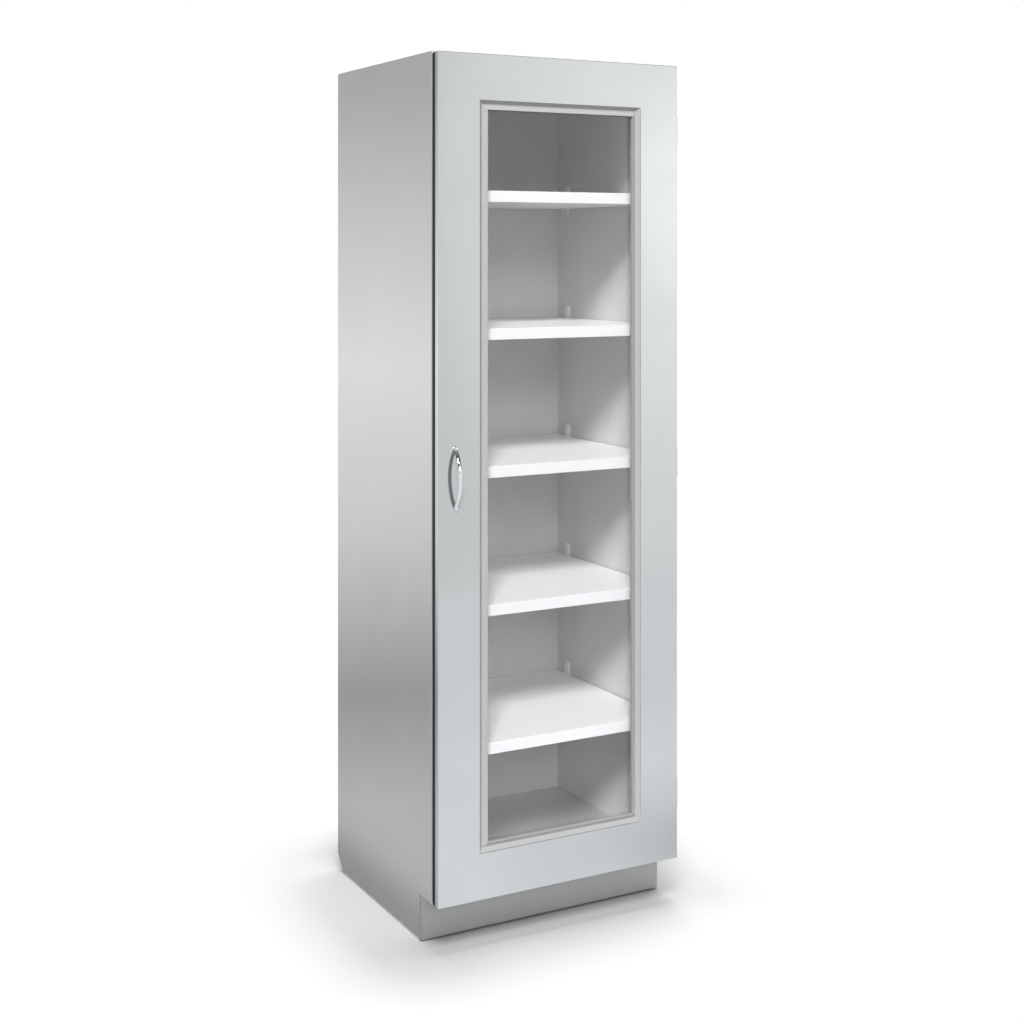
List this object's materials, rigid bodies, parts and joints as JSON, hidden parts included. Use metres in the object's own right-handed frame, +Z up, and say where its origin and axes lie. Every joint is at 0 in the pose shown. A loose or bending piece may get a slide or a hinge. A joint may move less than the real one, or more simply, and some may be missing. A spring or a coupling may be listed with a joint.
{
  "type": "glass door medical cabinet",
  "caption": "Tall clinic storage cabinet with a framed glass door on side hinges, a bow handle, clip-held adjustable shelves and a recessed kick base on levelling feet.",
  "frame": {"origin": "on the floor, at the middle of the cabinet's bounding box, handle and hinge barrels included", "axes": "+Z up, +X to the right as seen from the front, +Y from the door to the back"},
  "size_m": [0.6194, 0.582, 1.92],
  "materials": {
    "metallic_laminate": "silver-grey metallic laminate on a board core, satin gloss",
    "door_laminate": "cool silver-grey metallic laminate on a board core, satin gloss",
    "bead_vinyl": "warm grey vinyl-wrapped glazing bead, satin",
    "grey_laminate": "grey metallic laminate on a board core, satin",
    "plain_board": "grey-faced chipboard rails, out of sight",
    "white_melamine": "white melamine on a board core, banded edges",
    "clip_plastic": "white moulded plastic",
    "clear_glass": "clear tempered float glass",
    "grey_vinyl": "grey extruded vinyl",
    "black_rubber": "black sponge rubber",
    "polished_chrome": "polished chrome plate",
    "hinge_steel": "satin stainless steel",
    "catch_plastic": "dark grey moulded plastic",
    "foot_plastic": "black nylon on a steel stud"
  },
  "bodies": {
    "carcass": {"back_panel": "grey_laminate", "bottom_deck": "grey_laminate", "hinge_1_frame_leaf": "hinge_steel", "hinge_1_pin": "hinge_steel", "hinge_2_frame_leaf": "hinge_steel", "hinge_2_pin": "hinge_steel", "hinge_3_frame_leaf": "hinge_steel", "hinge_3_pin": "hinge_steel", "kick_board": "grey_laminate", "left_side_panel": "metallic_laminate", "lower_hang_rail": "plain_board", "magnet_catch": "catch_plastic", "rear_base_rail": "plain_board", "right_side_panel": "metallic_laminate", "shelf_1": "white_melamine", "shelf_1_clip_front_left": "clip_plastic", "shelf_1_clip_front_right": "clip_plastic", "shelf_1_clip_rear_left": "clip_plastic", "shelf_1_clip_rear_right": "clip_plastic", "shelf_2": "white_melamine", "shelf_2_clip_front_left": "clip_plastic", "shelf_2_clip_front_right": "clip_plastic", "shelf_2_clip_rear_left": "clip_plastic", "shelf_2_clip_rear_right": "clip_plastic", "shelf_3": "white_melamine", "shelf_3_clip_front_left": "clip_plastic", "shelf_3_clip_front_right": "clip_plastic", "shelf_3_clip_rear_left": "clip_plastic", "shelf_3_clip_rear_right": "clip_plastic", "shelf_4": "white_melamine", "shelf_4_clip_front_left": "clip_plastic", "shelf_4_clip_front_right": "clip_plastic", "shelf_4_clip_rear_left": "clip_plastic", "shelf_4_clip_rear_right": "clip_plastic", "shelf_5": "white_melamine", "shelf_5_clip_front_left": "clip_plastic", "shelf_5_clip_front_right": "clip_plastic", "shelf_5_clip_rear_left": "clip_plastic", "shelf_5_clip_rear_right": "clip_plastic", "top_panel": "metallic_laminate", "upper_hang_rail": "plain_board"},
    "door": {"bow_handle": "polished_chrome", "door_frame": "door_laminate", "door_seal": "black_rubber", "glass_pane": "clear_glass", "glass_retainer": "grey_vinyl", "glazing_bead_bottom": "bead_vinyl", "glazing_bead_left": "bead_vinyl", "glazing_bead_right": "bead_vinyl", "glazing_bead_top": "bead_vinyl", "hinge_1_door_leaf": "hinge_steel", "hinge_2_door_leaf": "hinge_steel", "hinge_3_door_leaf": "hinge_steel", "lower_handle_screw": "hinge_steel", "strike_plate": "hinge_steel", "upper_handle_screw": "hinge_steel"},
    "front_left_foot": {"front_left_foot": "foot_plastic"},
    "front_right_foot": {"front_right_foot": "foot_plastic"},
    "rear_left_foot": {"rear_left_foot": "foot_plastic"},
    "rear_right_foot": {"rear_right_foot": "foot_plastic"}
  },
  "joints": [
    {"name": "door_swing", "type": "hinge", "parent": "carcass", "child": "door", "pos_m": [0.30515, -0.2355, 1.0085], "axis": [0, 0, 1], "range_deg": [0, 180]},
    {"name": "front_left_level", "type": "slide", "parent": "carcass", "child": "front_left_foot", "axis": [0, 0, -1], "range_m": [0, 0.012]},
    {"name": "front_right_level", "type": "slide", "parent": "carcass", "child": "front_right_foot", "axis": [0, 0, -1], "range_m": [0, 0.012]},
    {"name": "rear_left_level", "type": "slide", "parent": "carcass", "child": "rear_left_foot", "axis": [0, 0, -1], "range_m": [0, 0.012]},
    {"name": "rear_right_level", "type": "slide", "parent": "carcass", "child": "rear_right_foot", "axis": [0, 0, -1], "range_m": [0, 0.012]}
  ]
}
